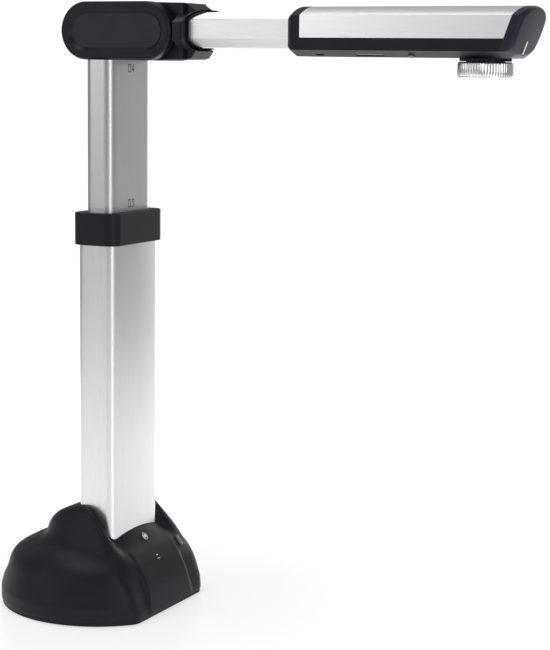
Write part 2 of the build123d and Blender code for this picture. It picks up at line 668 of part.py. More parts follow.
with BuildPart() as sleeve_rim:
    with BuildSketch(Plane.YZ.offset(SLEEVE_X0)):
        add(arm_section(SLEEVE_WALL - RIM_STEP))
    extrude(amount=SLEEVE_X1 - SLEEVE_X0)
    add(saddle_cut(0), mode=Mode.SUBTRACT)

BLOCK_X1, FLARE_X1 = 55.5, 64.0
BLOCK_HALF_Y, BLOCK_SIDE, BLOCK_FLAT, BLOCK_TRIM = 20.8, 5.2, 9.0, 4.5


def block_section():
    """Eight-sided section of the sleeve's wide end, nearly flush with the pivot head's sides."""
    low, high = HEAD_Z0 + BLOCK_TRIM, HEAD_Z1 - BLOCK_TRIM
    side_low, side_high = HINGE_Z - BLOCK_SIDE, HINGE_Z + BLOCK_SIDE
    with BuildSketch() as section:
        with BuildLine():
            Polyline(
                (-BLOCK_FLAT, low), (BLOCK_FLAT, low), (BLOCK_HALF_Y, side_low),
                (BLOCK_HALF_Y, side_high), (BLOCK_FLAT, high), (-BLOCK_FLAT, high),
                (-BLOCK_HALF_Y, side_high), (-BLOCK_HALF_Y, side_low), close=True)
        make_face()
    return section.sketch


with BuildPart() as arm_sleeve:
    with BuildSketch(Plane.YZ.offset(SLEEVE_X0)):
        add(block_section())
    extrude(amount=BLOCK_X1 - SLEEVE_X0)
    with BuildSketch(Plane.YZ.offset(BLOCK_X1)):
        add(block_section())
    with BuildSketch(Plane.YZ.offset(FLARE_X1)):
        add(arm_section(SLEEVE_WALL))
    loft(ruled=True)
    with BuildSketch(Plane.YZ.offset(FLARE_X1)):
        add(arm_section(SLEEVE_WALL))
    extrude(amount=SLEEVE_X1 - FLARE_X1)
    with BuildSketch(Plane.XZ):
        with BuildLine():
            Polyline(
                (ARM_X0, HINGE_Z - KNUCKLE_R + 0.5), (HOOD_X - 4, HEAD_Z0 + 1.5),
                (HOOD_X, ARM_Z[0] - 0.5), (HOOD_X, ARM_Z[3] + 0.5),
                (HOOD_X - 6, HEAD_Z1 - 2.0), (ARM_X0, HINGE_Z + KNUCKLE_R - 0.5), close=True)
        make_face()
    extrude(amount=11, both=True)
    add(saddle_cut(RIM_WIDTH), mode=Mode.SUBTRACT)
    add(sleeve_rim.part)
    with BuildSketch(Plane.YZ.offset(SLEEVE_X0)):
        add(arm_section(0))
    extrude(amount=SLEEVE_X1, mode=Mode.SUBTRACT)
    add(arm_knuckle.part, mode=Mode.SUBTRACT)
arm_sleeve.part.label = "arm_sleeve"
export_step(arm_sleeve.part, "parts/arm_sleeve.step")

with BuildPart() as arm_tube:
    with BuildSketch(Plane.YZ.offset(ARM_X0)):
        add(arm_section(0))
        add(arm_section(-ARM_WALL), mode=Mode.SUBTRACT)
    extrude(amount=ARM_X1 - ARM_X0)
arm_tube.part.label = "arm_tube"
export_step(arm_tube.part, "parts/arm_tube.step")

with BuildPart() as arm_stop:
    with BuildSketch(Plane.YZ.offset(ARM_X1 - 8)):
        add(arm_section(-ARM_WALL))
    extrude(amount=8)
    with BuildSketch(Plane.YZ.offset(ARM_X1)):
        add(arm_section(0.35))
    extrude(amount=2.5)
    with BuildSketch(Plane.YZ.offset(ARM_X1 - 8)):
        with Locations((0, HINGE_Z)):
            RectangleRounded(16, 10, 2)
    extrude(amount=12, mode=Mode.SUBTRACT)
arm_stop.part.label = "arm_stop"
export_step(arm_stop.part, "parts/arm_stop.step")

# ---------------------------------------------------------------- camera head

FRAME_X1 = CAM_X0 + FRAME_LENGTH
CAM_END = 275.0
TRAY_EDGE = CAM_Z[2]
FLOOR_Z = CAM_Z[0]
WINDOW_X = sum(LED_X) / 2
WINDOW_LENGTH = LED_X[1] - LED_X[0]

with BuildPart() as camera_shell:
    with BuildSketch(Plane.YZ.offset(FRAME_X1)):
        add(camera_section(0))
        add(camera_section(SHELL_WALL), mode=Mode.SUBTRACT)
        with Locations((0, TRAY_EDGE)):
            Rectangle(100, 60, align=(Align.CENTER, Align.MAX), mode=Mode.SUBTRACT)
    extrude(amount=CAM_END - FRAME_X1)
    split(bisect_by=nose_plane(NOSE_REAR_X), keep=Keep.BOTTOM)
camera_shell.part.label = "camera_shell"
export_step(camera_shell.part, "parts/camera_shell.step")

with BuildPart() as camera_tray:
    with BuildSketch(Plane.YZ.offset(CAM_X0)):
        add(camera_section(0))
        add(camera_section(TRAY_WALL), mode=Mode.SUBTRACT)
        with Locations((0, TRAY_EDGE)):
            Rectangle(100, 60, align=(Align.CENTER, Align.MIN), mode=Mode.SUBTRACT)
    extrude(amount=CAM_END - CAM_X0)
    with BuildSketch(Plane.YZ.offset(CAM_X0 + 5)):
        add(camera_section(SHELL_WALL))
        add(camera_section(SHELL_WALL + 1.2), mode=Mode.SUBTRACT)
        with Locations((0, TRAY_EDGE - 2)):
            Rectangle(100, 60, align=(Align.CENTER, Align.MAX), mode=Mode.SUBTRACT)
        with Locations((0, TRAY_EDGE + 3)):
            Rectangle(100, 60, align=(Align.CENTER, Align.MIN), mode=Mode.SUBTRACT)
    extrude(amount=CAM_END - CAM_X0 - 5)
    split(bisect_by=nose_plane(NOSE_REAR_X), keep=Keep.BOTTOM)
    with BuildSketch(Plane.YZ.offset(CAM_X0)):
        add(camera_section(0))
    extrude(amount=FRAME_LENGTH)
    rear = camera_tray.faces().filter_by(Axis.X).sort_by(Axis.X)[0]
    chamfer(rear.edges(), 2.6)
    with BuildSketch(Plane.YZ.offset(CAM_X0 - 1)):
        add(arm_section(1.2))
    extrude(amount=FRAME_LENGTH + 1, mode=Mode.SUBTRACT)
    with BuildSketch(Plane.XY.offset(FLOOR_Z - 1)):
        with Locations((LENS_X, 0)):
            Circle(9)
    extrude(amount=4, mode=Mode.SUBTRACT)
    with BuildSketch(bevel_plane(CATCH_X, 1.2)):
        SlotOverall(6, 2.2)
    extrude(amount=4, mode=Mode.SUBTRACT)
    with BuildSketch(bevel_plane(WINDOW_X, 4)):
        SlotOverall(WINDOW_LENGTH, SLOT_WIDTH)
        with Locations((BUTTON_X - WINDOW_X, 0)):
            Circle(BUTTON_R + GAP)
    extrude(amount=8, mode=Mode.SUBTRACT)
camera_tray.part.label = "camera_tray"
export_step(camera_tray.part, "parts/camera_tray.step")

with BuildPart() as tube_guide:
    with BuildSketch(Plane.YZ.offset(CAM_X0 + 1)):
        add(arm_section(1.2))
        add(arm_section(RUNNING), mode=Mode.SUBTRACT)
    extrude(amount=FRAME_LENGTH - 1)
tube_guide.part.label = "tube_guide"
export_step(tube_guide.part, "parts/tube_guide.step")

CAP_EDGE_R = 3.0
BAR_Z0, BAR_Z1, BAR_WIDTH, BAR_DEPTH = 350.6, 357.6, 1.3, 0.6

with BuildPart() as nose_cap:
    with BuildSketch(Plane.YZ.offset(NOSE_REAR_X - 20)):
        add(camera_section(0))
    extrude(amount=50)
    split(bisect_by=nose_plane(NOSE_FRONT_X), keep=Keep.BOTTOM)
    split(bisect_by=nose_plane(NOSE_REAR_X), keep=Keep.TOP)
    fillet(nose_cap.faces().sort_by(Axis.X)[-1].edges(), CAP_EDGE_R)
    with BuildSketch(Plane.XZ):
        with BuildLine():
            bar_x = NOSE_FRONT_X + SLANT * (BAR_Z0 - HINGE_Z)
            bar_end_x = NOSE_FRONT_X + SLANT * (BAR_Z1 - HINGE_Z)
            Polyline((bar_x - BAR_DEPTH, BAR_Z0), (bar_x + 3, BAR_Z0), (bar_end_x + 3, BAR_Z1),
                     (bar_end_x - BAR_DEPTH, BAR_Z1), close=True)
        make_face()
    extrude(amount=BAR_WIDTH / 2, both=True, mode=Mode.SUBTRACT)
nose_cap.part.label = "nose_cap"
export_step(nose_cap.part, "parts/nose_cap.step")

with BuildPart() as aim_bar:
    with BuildSketch(Plane.XZ):
        with BuildLine():
            Polyline((bar_x - BAR_DEPTH, BAR_Z0), (bar_x, BAR_Z0), (bar_end_x, BAR_Z1),
                     (bar_end_x - BAR_DEPTH, BAR_Z1), close=True)
        make_face()
    extrude(amount=BAR_WIDTH / 2, both=True)
aim_bar.part.label = "aim_bar"
export_step(aim_bar.part, "parts/aim_bar.step")

HUB_R = 11.0
HUB_BOTTOM = 341.0
BARREL_R = 7.0

with BuildPart() as lens_base:
    with BuildSketch(Plane.XY.offset(RING_Z1 + GAP)):
        with Locations((LENS_X, 0)):
            Circle(RING_R - 1.0)
            with PolarLocations(RING_R - 0.6, 30):
                Circle(0.8, mode=Mode.SUBTRACT)
    extrude(amount=FLOOR_Z - RING_Z1 - GAP)
    with BuildSketch(Plane.XY.offset(HUB_BOTTOM)):
        with Locations((LENS_X, 0)):
            Circle(HUB_R)
    extrude(amount=FLOOR_Z - HUB_BOTTOM)
    with BuildSketch(Plane.XY.offset(FLOOR_Z)):
        with Locations((LENS_X, 0)):
            Circle(9)
    extrude(amount=12)
    with BuildSketch(Plane.XY.offset(HUB_BOTTOM)):
        with Locations((LENS_X, 0)):
            Circle(BARREL_R + RUNNING)
    extrude(amount=40, mode=Mode.SUBTRACT)
lens_base.part.label = "lens_base"
export_step(lens_base.part, "parts/lens_base.step")

with BuildPart() as focus_ring:
    with BuildSketch(Plane.XY.offset(RING_Z0)):
        with Locations((LENS_X, 0)):
            Circle(RING_R)
            with PolarLocations(RING_R + 0.25, 48):
                Circle(0.65, mode=Mode.SUBTRACT)
    extrude(amount=RING_Z1 - RING_Z0)
    with BuildSketch(Plane.XY.offset(RING_Z0)):
        with Locations((LENS_X, 0)):
            Circle(9.5)
    extrude(amount=20, mode=Mode.SUBTRACT)
    with BuildSketch(Plane.XY.offset(RING_Z0 + 2)):
        with Locations((LENS_X, 0)):
            Circle(HUB_R + RUNNING)
    extrude(amount=20, mode=Mode.SUBTRACT)
focus_ring.part.label = "focus_ring"
export_step(focus_ring.part, "parts/focus_ring.step")

BARREL_BOTTOM, BARREL_TOP = 341.6, 361.6
BARREL_BORE_R = 5.4

with BuildPart() as lens_barrel:
    with BuildSketch(Plane.XY.offset(BARREL_BOTTOM)):
        with Locations((LENS_X, 0)):
            Circle(BARREL_R)
            Circle(BARREL_BORE_R, mode=Mode.SUBTRACT)
    extrude(amount=BARREL_TOP - BARREL_BOTTOM)
lens_barrel.part.label = "lens_barrel"
export_step(lens_barrel.part, "parts/lens_barrel.step")

LENS_Z0, LENS_Z1 = 342.6, 345.4
LENS_SPHERE_R = 15.0

with BuildPart() as front_lens:
    with BuildSketch(Plane.XY.offset(LENS_Z0)):
        with Locations((LENS_X, 0)):
            Circle(BARREL_BORE_R)
    extrude(amount=LENS_Z1 - LENS_Z0)
    with Locations((LENS_X, 0, LENS_Z0 + LENS_SPHERE_R)):
        Sphere(LENS_SPHERE_R, mode=Mode.INTERSECT)
front_lens.part.label = "front_lens"
export_step(front_lens.part, "parts/front_lens.step")

with BuildPart() as rear_lens:
    with BuildSketch(Plane.XY.offset(LENS_Z1 + 8)):
        with Locations((LENS_X, 0)):
            Circle(BARREL_BORE_R)
    extrude(amount=3)
rear_lens.part.label = "rear_lens"
export_step(rear_lens.part, "parts/rear_lens.step")

SENSOR_BOARD_Z = 365.0
SENSOR_HALF_X, SENSOR_HALF_Y = 13.0, 17.0
SENSOR_SCREW_SPOTS = [(LENS_X - 9, 9), (LENS_X + 9, -9)]

with BuildPart() as sensor_holder:
    with BuildSketch(Plane.XY.offset(FLOOR_Z + 12)):
        with Locations((LENS_X, 0)):
            Rectangle(2 * SENSOR_HALF_X - 4, 2 * SENSOR_HALF_X - 4)
            Circle(BARREL_R + 0.4, mode=Mode.SUBTRACT)
        with Locations(*SENSOR_SCREW_SPOTS):
            Circle(0.8, mode=Mode.SUBTRACT)
    extrude(amount=SENSOR_BOARD_Z - FLOOR_Z - 12)
sensor_holder.part.label = "sensor_holder"
export_step(sensor_holder.part, "parts/sensor_holder.step")

with BuildPart() as sensor_board:
    with BuildSketch(Plane.XY.offset(SENSOR_BOARD_Z)):
        with Locations((LENS_X, 0)):
            RectangleRounded(2 * SENSOR_HALF_X, 2 * SENSOR_HALF_Y, 1.5)
        with Locations(*SENSOR_SCREW_SPOTS):
            Circle(0.8, mode=Mode.SUBTRACT)
    extrude(amount=1.2)
    with Locations((LENS_X, 0, SENSOR_BOARD_Z)):
        Box(8, 7, 1.2, align=(Align.CENTER, Align.CENTER, Align.MAX))
sensor_board.part.label = "sensor_board"
export_step(sensor_board.part, "parts/sensor_board.step")

LIGHT_BOARD_DEPTH = 5.4
LIGHT_BOARD_SHIFT = 1.5     # the board lies towards the side wall, clear of the sliding tube

with BuildPart() as light_window:
    with BuildSketch(bevel_plane(WINDOW_X, 1.7)):
        SlotOverall(WINDOW_LENGTH, SLOT_WIDTH)
    extrude(amount=1.3)
light_window.part.label = "light_window"
export_step(light_window.part, "parts/light_window.step")

with BuildPart() as light_board:
    with BuildSketch(bevel_plane(WINDOW_X, LIGHT_BOARD_DEPTH)):
        with Locations((WINDOW_LENGTH / 2 + 1, LIGHT_BOARD_SHIFT)):
            Rectangle(42, 5)
    extrude(amount=1.0)
    with BuildSketch(bevel_plane(WINDOW_X, LIGHT_BOARD_DEPTH - 1.0)):
        with GridLocations(5, 0, 3, 1):
            Rectangle(2.2, 2.2)
        with Locations((BUTTON_X - WINDOW_X, 0)):
            Rectangle(3, 3)
    extrude(amount=0.9)
light_board.part.label = "light_board"
export_step(light_board.part, "parts/light_board.step")

with BuildPart() as light_button:
    with BuildSketch(bevel_plane(BUTTON_X, 2.6)):
        Circle(BUTTON_R)
    extrude(amount=3.5)
    fillet(light_button.faces().sort_by(Axis.Z)[0].edges(), 0.35)
light_button.part.label = "light_button"
export_step(light_button.part, "parts/light_button.step")

with BuildPart() as sensor_screws:
    with Locations(*[(x, y, SENSOR_BOARD_Z + 1.2) for x, y in SENSOR_SCREW_SPOTS]):
        Cylinder(1.6, 1.0, align=(Align.CENTER, Align.CENTER, Align.MIN))
        Cylinder(0.8, 5.2, align=(Align.CENTER, Align.CENTER, Align.MAX))
sensor_screws.part.label = "sensor_screws"
export_step(sensor_screws.part, "parts/sensor_screws.step")
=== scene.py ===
"""Document camera on a pale floor: the CAD frame, finished, with sculpted and printed details."""
import bpy
import bmesh
import math
import numpy as np
from mathutils import Matrix, Vector


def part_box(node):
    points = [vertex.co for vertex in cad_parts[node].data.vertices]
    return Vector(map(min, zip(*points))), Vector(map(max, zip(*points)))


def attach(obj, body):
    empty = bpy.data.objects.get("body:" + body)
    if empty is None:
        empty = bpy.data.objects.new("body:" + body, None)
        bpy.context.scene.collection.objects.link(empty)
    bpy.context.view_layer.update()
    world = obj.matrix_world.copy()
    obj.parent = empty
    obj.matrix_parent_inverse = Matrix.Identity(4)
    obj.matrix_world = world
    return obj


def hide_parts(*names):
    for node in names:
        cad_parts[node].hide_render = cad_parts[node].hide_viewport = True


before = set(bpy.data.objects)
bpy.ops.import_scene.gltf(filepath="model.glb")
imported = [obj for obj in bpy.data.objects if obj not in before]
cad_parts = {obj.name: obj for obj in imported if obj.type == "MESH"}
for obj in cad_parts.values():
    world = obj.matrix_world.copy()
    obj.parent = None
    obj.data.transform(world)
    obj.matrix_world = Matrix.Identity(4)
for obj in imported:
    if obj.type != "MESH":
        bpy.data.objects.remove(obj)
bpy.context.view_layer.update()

MM = 0.001

# ---------------------------------------------------------------- node helpers


def new_material(name):
    """An empty Principled material and the two nodes that everything else plugs into."""
    material = bpy.data.materials.new(name)
    material.use_nodes = True
    tree = material.node_tree
    tree.nodes.clear()
    output = tree.nodes.new("ShaderNodeOutputMaterial")
    shader = tree.nodes.new("ShaderNodeBsdfPrincipled")
    tree.links.new(shader.outputs["BSDF"], output.inputs["Surface"])
    return material, tree, shader


def noise(tree, scale, detail=3.0, stretch=(1, 1, 1), rough=0.55):
    """Noise in object space; scale is in cells per metre before the stretch."""
    coords = tree.nodes.new("ShaderNodeTexCoord")
    mapping = tree.nodes.new("ShaderNodeMapping")
    mapping.inputs["Scale"].default_value = stretch
    texture = tree.nodes.new("ShaderNodeTexNoise")
    texture.inputs["Scale"].default_value = scale
    texture.inputs["Detail"].default_value = detail
    texture.inputs["Roughness"].default_value = rough
    tree.links.new(coords.outputs["Object"], mapping.inputs["Vector"])
    tree.links.new(mapping.outputs["Vector"], texture.inputs["Vector"])
    return texture.outputs["Fac"]


def ramp(tree, factor, low, high, start=0.3, end=0.7):
    """Colour ramp from low to high, each an RGB triple."""
    node = tree.nodes.new("ShaderNodeValToRGB")
    node.color_ramp.elements[0].position = start
    node.color_ramp.elements[0].color = (*low, 1)
    node.color_ramp.elements[1].position = end
    node.color_ramp.elements[1].color = (*high, 1)
    tree.links.new(factor, node.inputs["Fac"])
    return node.outputs["Color"]


def spread(tree, factor, low, high):
    """Map a 0..1 factor to low..high."""
    node = tree.nodes.new("ShaderNodeMapRange")
    node.inputs["To Min"].default_value = low
    node.inputs["To Max"].default_value = high
    tree.links.new(factor, node.inputs["Value"])
    return node.outputs["Result"]


def bump(tree, shader, height, depth, strength=1.0):
    """Bump of the given depth in metres on the shader's normal."""
    node = tree.nodes.new("ShaderNodeBump")
    node.inputs["Distance"].default_value = depth
    node.inputs["Strength"].default_value = strength
    tree.links.new(height, node.inputs["Height"])
    tree.links.new(node.outputs["Normal"], shader.inputs["Normal"])


def tinted(colour, factor):
    return tuple(min(1.0, c * factor) for c in colour)


# ---------------------------------------------------------------- materials


def moulded(name, colour, roughness, grain=1400, depth=0.00003, variation=0.12, specular=0.2, coat=0.0):
    """Moulded plastic: eroded grain, slight cloudiness in the colour, handling marks in the gloss."""
    material, tree, shader = new_material(name)
    clouds = noise(tree, 45, 4)
    tree.links.new(ramp(tree, clouds, tinted(colour, 1 - variation), tinted(colour, 1 + variation)),
                   shader.inputs["Base Color"])
    smears = noise(tree, 110, 5, rough=0.7)
    tree.links.new(spread(tree, smears, roughness - 0.06, roughness + 0.08), shader.inputs["Roughness"])
    bump(tree, shader, noise(tree, grain, 2), depth)
    shader.inputs["Specular IOR Level"].default_value = specular
    shader.inputs["Coat Weight"].default_value = coat
    shader.inputs["Coat Roughness"].default_value = 0.25
    return material


def brushed(name, colour, roughness, stretch, depth=0.000012, variation=0.05):
    """Satin anodised aluminium with fine brush lines; stretch is small along the lines."""
    material, tree, shader = new_material(name)
    lines = noise(tree, 2600, 3, stretch=stretch, rough=0.7)
    tree.links.new(ramp(tree, lines, tinted(colour, 1 - variation), tinted(colour, 1 + variation)),
                   shader.inputs["Base Color"])
    broad = noise(tree, 500, 2, stretch=stretch)
    tree.links.new(spread(tree, broad, roughness - 0.05, roughness + 0.07), shader.inputs["Roughness"])
    bump(tree, shader, lines, depth)
    shader.inputs["Metallic"].default_value = 1.0
    return material


def plain_metal(name, colour, roughness, grain=900, depth=0.00002):
    """Cast, plated or turned metal with a fine isotropic texture."""
    material, tree, shader = new_material(name)
    grains = noise(tree, grain, 4)
    tree.links.new(ramp(tree, grains, tinted(colour, 0.88), tinted(colour, 1.08)),
                   shader.inputs["Base Color"])
    tree.links.new(spread(tree, noise(tree, 160, 3), roughness - 0.06, roughness + 0.08),
                   shader.inputs["Roughness"])
    bump(tree, shader, grains, depth)
    shader.inputs["Metallic"].default_value = 1.0
    return material


def solder_mask(name, colour):
    """Green circuit board with darker tracks under the lacquer."""
    material, tree, shader = new_material(name)
    tracks = noise(tree, 380, 0, stretch=(1, 0.25, 1))
    tree.links.new(ramp(tree, tracks, tinted(colour, 0.6), tinted(colour, 1.3), 0.48, 0.52),
                   shader.inputs["Base Color"])
    tree.links.new(spread(tree, noise(tree, 700, 2), 0.22, 0.4), shader.inputs["Roughness"])
    bump(tree, shader, tracks, 0.00002)
    return material


def clear(name, colour, roughness, transmission, ior):
    """Glass or frosted plastic."""
    material, tree, shader = new_material(name)
    haze = noise(tree, 300, 3)
    tree.links.new(ramp(tree, haze, tinted(colour, 0.96), colour), shader.inputs["Base Color"])
    tree.links.new(spread(tree, haze, roughness, roughness + 0.05), shader.inputs["Roughness"])
    shader.inputs["Transmission Weight"].default_value = transmission
    shader.inputs["IOR"].default_value = ior
    shader.inputs["Coat Weight"].default_value = 0.3
    return material


BLACK = (0.0085, 0.0082, 0.0135)
CHARCOAL = (0.019, 0.0185, 0.029)

housing = moulded("housing_plastic", BLACK, 0.42, depth=0.00004)
cover = moulded("cover_plastic", BLACK, 0.46, grain=1100, depth=0.00005, variation=0.18)
pivot = moulded("pivot_plastic", BLACK, 0.36, grain=1600, depth=0.00002)
panel = moulded("panel_plastic", CHARCOAL, 0.34, grain=2000, depth=0.000015)
nose = moulded("nose_plastic", CHARCOAL, 0.38, grain=1700, depth=0.00002)
column_metal = brushed("column_aluminium", (0.72, 0.72, 0.73), 0.36, (1, 1, 0.02))
inner_metal = brushed("inner_aluminium", (0.62, 0.62, 0.64), 0.36, (1, 1, 0.02))
# The arm's and the head shell's colours are lighter than the column's as painted sheen, standing in for the
# overhead light their brush lines catch.
arm_metal = brushed("arm_aluminium", (0.86, 0.86, 0.87), 0.38, (0.02, 1, 1))
shell_metal = brushed("shell_aluminium", (0.95, 0.95, 0.965), 0.34, (0.02, 1, 1), variation=0.03)
ring_metal = plain_metal("ring_metal", (0.9, 0.9, 0.91), 0.22)
steel = plain_metal("plated_steel", (0.6, 0.6, 0.62), 0.32)
casting = plain_metal("die_casting", (0.42, 0.42, 0.43), 0.55, 500, 0.00005)
ballast = plain_metal("ballast_iron", (0.16, 0.16, 0.165), 0.7, 350, 0.0001)
rubber = moulded("pad_rubber", (0.02, 0.02, 0.021), 0.82, 700, 0.00008, specular=0.2)
acetal = moulded("bearing_acetal", (0.78, 0.77, 0.72), 0.4, 900, 0.00001, 0.04)
board = solder_mask("circuit_board", (0.02, 0.14, 0.06))
frosted = clear("light_window", (0.06, 0.063, 0.072), 0.3, 0.15, 1.49)
glass = clear("lens_glass", (0.75, 0.8, 0.92), 0.02, 0.9, 1.6)
white = moulded("white_inlay", (0.86, 0.86, 0.87), 0.35, 1200, 0.00001, 0.03)
key_grey = moulded("key_plastic", (0.16, 0.165, 0.18), 0.3, 1500, 0.00001, 0.05, coat=0.3)
button_grey = moulded("button_plastic", (0.09, 0.09, 0.1), 0.4, 1200, 0.00002)
ink = moulded("printed_ink", (0.05, 0.05, 0.055), 0.5, 2500, 0.00001)
pale_ink = moulded("pale_ink", (0.75, 0.76, 0.78), 0.5, 2500, 0.00001, 0.05)

finish_of = {
    "arm_knuckle": pivot, "arm_sleeve": pivot, "pivot_core": pivot, "cheek_near": pivot, "cheek_far": pivot,
    "column_collar": housing, "camera_tray": housing, "lens_base": housing, "lens_barrel": housing,
    "sensor_holder": housing, "base_plate": cover, "base_cover": cover,
    "panel_near": panel, "panel_far": panel, "nose_cap": nose,
    "rubber_pad": rubber, "ballast_plate": ballast, "column_socket": casting,
    "base_screws": steel, "clamp_screws": steel, "board_standoffs": steel, "cheek_screws": steel,
    "hinge_shaft": steel, "hinge_nut": steel, "sensor_screws": steel, "usb_port": steel,
    "outer_column": column_metal, "inner_column": inner_metal, "arm_tube": arm_metal,
    "camera_shell": shell_metal, "focus_ring": ring_metal,
    "collar_bush": acetal, "column_shoe": acetal, "tube_guide": acetal, "arm_stop": acetal,
    "friction_washers": acetal, "main_board": board, "front_board": board, "sensor_board": board,
    "light_board": board, "indicator_pipes": white, "light_window": frosted,
    "front_lens": glass, "rear_lens": glass, "aim_bar": white, "power_key": key_grey,
    "light_button": button_grey,
}
for node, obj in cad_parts.items():
    for place in obj.material_slots:
        place.link = "OBJECT"
        place.material = finish_of[node]

# ---------------------------------------------------------------- mesh helpers


def mesh_piece(name, vertices, faces, material, body, smooth=True):
    """A mesh object in metres that rides on a body."""
    mesh = bpy.data.meshes.new(name)
    mesh.from_pydata([tuple(v) for v in vertices], [], faces)
    mesh.materials.append(material)
    if smooth:
        mesh.shade_smooth()
    obj = bpy.data.objects.new(name, mesh)
    bpy.context.collection.objects.link(obj)
    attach(obj, body)
    return obj


def smin(a, b, k):
    """Smooth minimum with a blend of width k."""
    h = np.clip(0.5 + 0.5 * (b - a) / k, 0, 1)
    return b * (1 - h) + a * h - k * h * (1 - h)


def smax(a, b, k):
    return -smin(-a, -b, k)


def smoothstep(low, high, value):
    t = np.clip((value - low) / (high - low), 0, 1)
    return t * t * (3 - 2 * t)


# ---------------------------------------------------------------- base cover (millimetres until the end)

WALL_Z = (0.0, 5.0, 11.0, 19.0, 31.0, 42.0)
WALL_R = (64.2, 64.6, 64.6, 62.7, 59.3, 56.0)
FOOT_CENTRE_X = -12.0
FENDER_STEP = 0.9           # the side fenders stand proud of the round wall
SLOPE = ((2.0, 67.2), (30.0, 32.2), (34.3, 26.0), (37.6, 18.0), (39.2, 10.0), (39.4, 3.0))
COLUMN_HALF_X, COLUMN_HALF_Y, COLUMN_R = 13.1, 27.7, 5.4
COVER_FLOOR = 3.4


def skirt(x, y, z):
    """Round foot with a roof that falls outwards, and proud fenders with an arched top on both sides."""
    r = np.hypot(x - FOOT_CENTRE_X, y)
    wall_r = np.interp(z, WALL_Z, WALL_R)
    roof = 0.87 * (z - (46.5 - 0.55 * (r - 33)))
    body = smax(r - wall_r + FENDER_STEP, roof, 4)
    front_drop = 0.013 * np.maximum(x, 0) ** 2
    body = smax(body, 0.87 * (z - (43 - front_drop)), 4)
    arch = 22 * ((x - FOOT_CENTRE_X) / 52) ** 2
    outward = np.maximum(np.abs(y) - 43, 0)
    fender_top = 0.85 * (z - (42 - 0.02 * outward ** 2 - 0.3 * outward - arch))
    fender = smax(r - wall_r, fender_top, 3)
    return smin(body, fender, 2.5)


def tower(x, y, z):
    """Rounded tower round the column's foot: square towards the front, tapering to the rear."""
    dx = x - 3
    length = np.where(dx < 0, 49 - 0.25 * (z - 40), 27.5)
    power = np.where(dx < 0, 2.5, 4.0)
    width = 42.0 - 0.34 * (z - 43)
    plan = (np.abs(dx) / length) ** power + (np.abs(y) / width) ** power
    side = (plan ** (1 / power) - 1) * 40
    top = z - (68.6 - 0.0085 * np.minimum(x, 0) ** 2)
    return smax(side, top, 6)


def front(x, z):
    """Signed distance to the front's side view, positive in front of it."""
    f = None
    for (x0, z0), (x1, z1) in zip(SLOPE[:-1], SLOPE[1:]):
        length = math.hypot(x1 - x0, z1 - z0)
        plane = ((x - x0) * (z0 - z1) + (z - z0) * (x1 - x0)) / length
        f = plane if f is None else smax(f, plane, 2.0)
    return f


def cover_form(x, y, z):
    """Foot and tower behind the sloping front, and a nose that stands slightly in front of both."""
    face = front(x, z)
    off = np.abs(y)
    hollow = 1.0 + 3.2 * (np.minimum(off, 26) / 26) ** 2 * smoothstep(34, 28, off)
    sloped = face + hollow * smoothstep(26, 12, x)
    foot = smax(skirt(x, y, z), face + 1.7 * smoothstep(4, 16, z), 3.0)
    block = smax(tower(x, y, z), sloped, 3.5)
    body = smin(foot, block, 5)
    nose = smax(smax(off - 26.5 + 0.06 * z, sloped, 2.2), smax(z - 40, 8 - x, 3), 3)
    return smin(body, nose, 2.0)


def column_edge(angle):
    """Distance from the column's axis to its outline, a rounded rectangle, in a direction."""
    c, s = math.cos(angle), math.sin(angle)
    low, high = 0.0, 40.0
    for _ in range(40):
        mid = (low + high) / 2
        qx = max(abs(mid * c) - COLUMN_HALF_X + COLUMN_R, 0)
        qy = max(abs(mid * s) - COLUMN_HALF_Y + COLUMN_R, 0)
        inside = math.hypot(qx, qy) < COLUMN_R
        low, high = (mid, high) if inside else (low, mid)
    return low


def march(origin, direction, reach):
    """Outermost crossing of the cover's surface along rays; arrays of shape (n, 3)."""
    steps = np.linspace(0, reach, 240)
    points = origin[:, None, :] + direction[:, None, :] * steps[None, :, None]
    inside = cover_form(points[..., 0], points[..., 1], points[..., 2]) < 0
    last = inside.shape[1] - 1 - np.argmax(inside[:, ::-1], axis=1)
    low = steps[last]
    high = low + steps[1]
    for _ in range(18):
        mid = (low + high) / 2
        p = origin + direction * mid[:, None]
        is_in = cover_form(p[:, 0], p[:, 1], p[:, 2]) < 0
        low = np.where(is_in, mid, low)
        high = np.where(is_in, high, mid)
    return origin + direction * low[:, None]


AZIMUTHS, RINGS = 288, 84


def build_cover():
    """The cover's outer surface as rings from the foot to the column, turned down into the column's hole."""
    angles = np.arange(AZIMUTHS) * 2 * math.pi / AZIMUTHS
    hole = np.array([column_edge(a) + 0.1 for a in angles])
    rim_xy = np.stack([hole * np.cos(angles), hole * np.sin(angles)], axis=1)
    down = np.tile([0.0, 0.0, 1.0], (AZIMUTHS, 1))
    foot = np.concatenate([rim_xy, np.full((AZIMUTHS, 1), 20.0)], axis=1)
    rim = march(foot, down, 60)
    top_elevation = np.arctan2(rim[:, 2] - COVER_FLOOR, hole)
    rings = []
    centre = np.tile([0.0, 0.0, COVER_FLOOR], (AZIMUTHS, 1))
    for i in range(RINGS):
        elevation = top_elevation * i / RINGS
        direction = np.stack([np.cos(elevation) * np.cos(angles), np.cos(elevation) * np.sin(angles),
                              np.sin(elevation)], axis=1)
        rings.append(march(centre, direction, 100))
    rings.append(rim)
    rings.append(rim - [0, 0, 3.0])
    points = np.concatenate(rings) * MM
    faces = []
    for i in range(len(rings) - 1):
        for j in range(AZIMUTHS):
            k = (j + 1) % AZIMUTHS
            faces.append((i * AZIMUTHS + j, i * AZIMUTHS + k, (i + 1) * AZIMUTHS + k, (i + 1) * AZIMUTHS + j))
    obj = mesh_piece("sculpted_cover", points, faces, cover, "base")
    shell = obj.modifiers.new("wall", "SOLIDIFY")
    shell.thickness = 1.6 * MM
    shell.offset = -1
    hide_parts("base_cover")
    return obj


build_cover()

